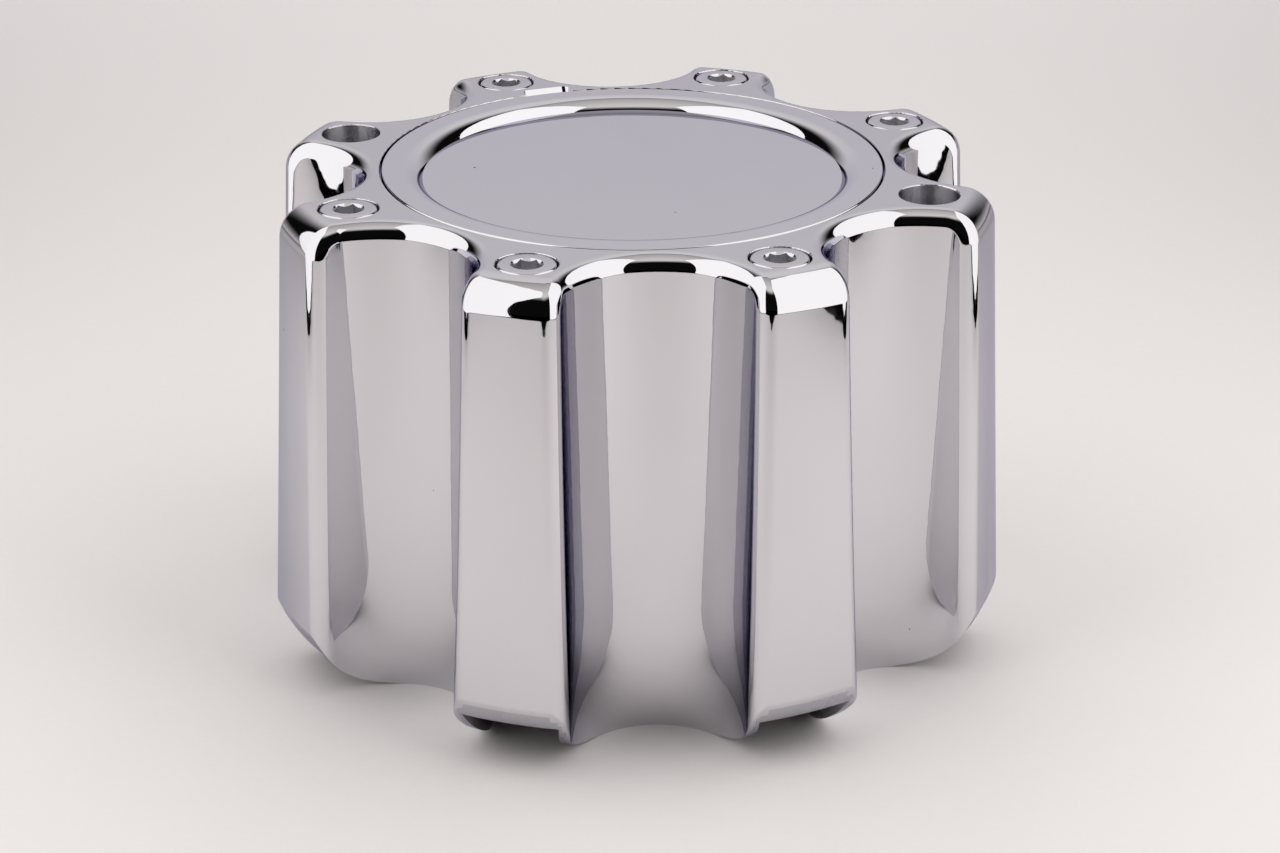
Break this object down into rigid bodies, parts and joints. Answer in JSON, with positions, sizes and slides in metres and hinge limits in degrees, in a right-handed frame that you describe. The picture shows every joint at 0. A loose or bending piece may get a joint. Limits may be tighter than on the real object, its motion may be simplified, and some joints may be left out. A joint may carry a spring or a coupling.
{
  "type": "wheel center cap",
  "caption": "Chrome-plated wheel center cap: a hollow fluted shell with a snap-in recessed disc in its top and socket screws sunk in its lobes.",
  "frame": {"origin": "on the cap's axis, at the level of the lower rim that meets the wheel", "axes": "+Z along the cap's axis, away from the wheel; +X through the empty screw place of one lobe"},
  "size_m": [0.1758, 0.1758, 0.1125],
  "materials": {
    "plated_shell": "mirror chrome on moulded ABS",
    "plated_disc": "mirror chrome on moulded ABS",
    "plated_screws": "chrome on steel"
  },
  "bodies": {
    "root": {"cap_body": "plated_shell", "center_disc": "plated_disc", "socket_screws": "plated_screws"}
  },
  "joints": []
}
